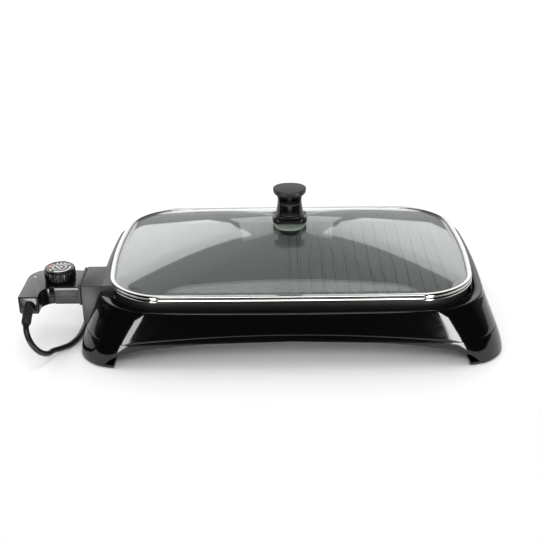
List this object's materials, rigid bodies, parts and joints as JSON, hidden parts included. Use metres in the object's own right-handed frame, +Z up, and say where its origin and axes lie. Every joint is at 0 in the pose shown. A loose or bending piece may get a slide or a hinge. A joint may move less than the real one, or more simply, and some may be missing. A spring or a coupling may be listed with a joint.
{
  "type": "electric indoor grill with lid",
  "caption": "Low black grill on a flared frame with four feet, a lift-out hot plate with heater, a domed glass lid with knob and a plug-in heat control with dial and cord.",
  "frame": {"origin": "middle of the grill on the surface that it stands on", "axes": "+X to the right along the grill, -Y towards the front where the cord hangs, +Z up"},
  "size_m": [0.5893, 0.4231, 0.1738],
  "materials": {
    "black_gloss_moulding": "polished black phenolic moulding",
    "grey_matt_moulding": "finely eroded dark grey moulding",
    "satin_grip": "satin dark grey moulding",
    "nonstick_aluminium": "die-cast aluminium with a textured non-stick coat",
    "steel_rim": "polished stainless steel",
    "tempered_glass": "clear tempered glass",
    "clear_silicone": "clear silicone",
    "rubber_black": "moulded rubber",
    "steel_zinc": "zinc-plated steel",
    "aluminised_steel": "aluminised sheet steel",
    "heater_sheath": "annealed heater sheath",
    "ceramic": "glazed steatite",
    "contact_brass": "brass",
    "switch_phenolic": "brown phenolic",
    "wire_insulation": "silicone insulation",
    "lens_clear": "clear indicator lens",
    "lamp_glass": "neon lamp",
    "cord_pvc": "PVC sheath",
    "tie_nylon": "nylon tie",
    "dial_print": "printed dial face"
  },
  "bodies": {
    "base": {"base_housing": "black_gloss_moulding", "foot_pads": "rubber_black", "plate_buffers": "clear_silicone", "heat_shield": "aluminised_steel", "shield_screws": "steel_zinc"},
    "plate": {"griddle_plate": "nonstick_aluminium", "heating_element": "heater_sheath", "element_clips": "steel_zinc", "clip_screws": "steel_zinc", "terminal_pins": "steel_zinc", "pin_insulators": "ceramic", "socket_shroud": "grey_matt_moulding", "shroud_screws": "steel_zinc"},
    "lid": {"lid_glass": "tempered_glass", "lid_rim": "steel_rim", "lid_gasket": "rubber_black", "knob_seal": "clear_silicone", "knob_flange": "black_gloss_moulding", "knob_grip": "satin_grip", "knob_washer": "clear_silicone", "knob_boss": "black_gloss_moulding", "knob_screw": "steel_zinc"},
    "controller": {"control_top_cover": "black_gloss_moulding", "control_bottom_cover": "black_gloss_moulding", "terminal_housing": "grey_matt_moulding", "mating_flange": "grey_matt_moulding", "probe_rod": "steel_zinc", "contact_sleeves": "contact_brass", "thermostat_switch": "switch_phenolic", "inner_wires": "wire_insulation", "indicator_lens": "lens_clear", "indicator_lamp": "lamp_glass", "cover_screws": "steel_zinc", "cord_relief": "rubber_black", "power_cord": "cord_pvc", "cord_coil": "cord_pvc", "cord_tie": "tie_nylon", "plug_lead": "cord_pvc", "plug_body": "rubber_black", "plug_pins": "contact_brass"},
    "dial": {"dial_knob": "black_gloss_moulding", "dial_face": "dial_print", "dial_shaft": "steel_zinc"}
  },
  "joints": [
    {"name": "plate_lift", "type": "slide", "parent": "base", "child": "plate", "axis": [0, 0, 1], "range_m": [0, 0.06]},
    {"name": "lid_lift", "type": "slide", "parent": "plate", "child": "lid", "axis": [0, 0, 1], "range_m": [0, 0.1]},
    {"name": "controller_unplug", "type": "slide", "parent": "plate", "child": "controller", "axis": [-1, 0, 0], "range_m": [0, 0.11]},
    {"name": "dial_turn", "type": "hinge", "parent": "controller", "child": "dial", "pos_m": [-0.2872, -0.06, 0.076], "axis": [0, 0, 1], "range_deg": [-280, 0]}
  ]
}
